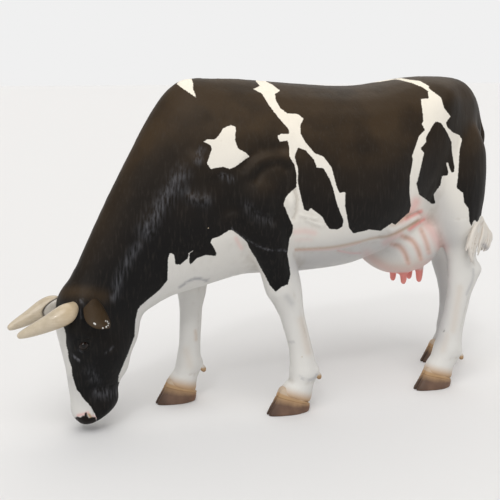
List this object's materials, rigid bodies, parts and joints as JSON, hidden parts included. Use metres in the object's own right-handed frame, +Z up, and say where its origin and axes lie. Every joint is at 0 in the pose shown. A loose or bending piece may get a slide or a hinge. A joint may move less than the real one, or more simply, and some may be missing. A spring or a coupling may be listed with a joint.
{
  "type": "life-size grazing cow statue",
  "caption": "Life-size fibreglass cow in a black and white dairy coat, horned, walking with its head down to graze.",
  "frame": {"origin": "on the floor, below the middle of the cow's box", "axes": "+X from the nose to the tail, +Y to the cow's own right, +Z up"},
  "size_m": [2.3944, 0.6936, 1.4433],
  "materials": {
    "hide_paint": "satin black paint on fibreglass",
    "white_paint": "satin off-white paint on fibreglass",
    "udder_paint": "off-white paint sprayed over with pink",
    "horn_paint": "glossy cream and tan paint",
    "hoof_paint": "brown paint, rubbed",
    "eye_gloss": "high gloss"
  },
  "bodies": {
    "root": {"trunk": "hide_paint", "neck": "hide_paint", "head": "hide_paint", "eye_left": "eye_gloss", "horn_left": "horn_paint", "ear_left": "hide_paint", "eye_right": "eye_gloss", "horn_right": "horn_paint", "ear_right": "hide_paint", "claw_fore_left_inner": "hoof_paint", "dewclaw_fore_left_inner": "hoof_paint", "claw_fore_left_outer": "hoof_paint", "dewclaw_fore_left_outer": "hoof_paint", "leg_fore_left": "white_paint", "claw_fore_right_inner": "hoof_paint", "dewclaw_fore_right_inner": "hoof_paint", "claw_fore_right_outer": "hoof_paint", "dewclaw_fore_right_outer": "hoof_paint", "leg_fore_right": "white_paint", "claw_hind_left_inner": "hoof_paint", "dewclaw_hind_left_inner": "hoof_paint", "claw_hind_left_outer": "hoof_paint", "dewclaw_hind_left_outer": "hoof_paint", "leg_hind_left": "white_paint", "claw_hind_right_inner": "hoof_paint", "dewclaw_hind_right_inner": "hoof_paint", "claw_hind_right_outer": "hoof_paint", "dewclaw_hind_right_outer": "hoof_paint", "leg_hind_right": "white_paint", "teat_front_left": "udder_paint", "teat_front_right": "udder_paint", "teat_rear_left": "udder_paint", "teat_rear_right": "udder_paint", "udder": "udder_paint", "tail": "hide_paint", "tail_switch": "white_paint"}
  },
  "joints": []
}
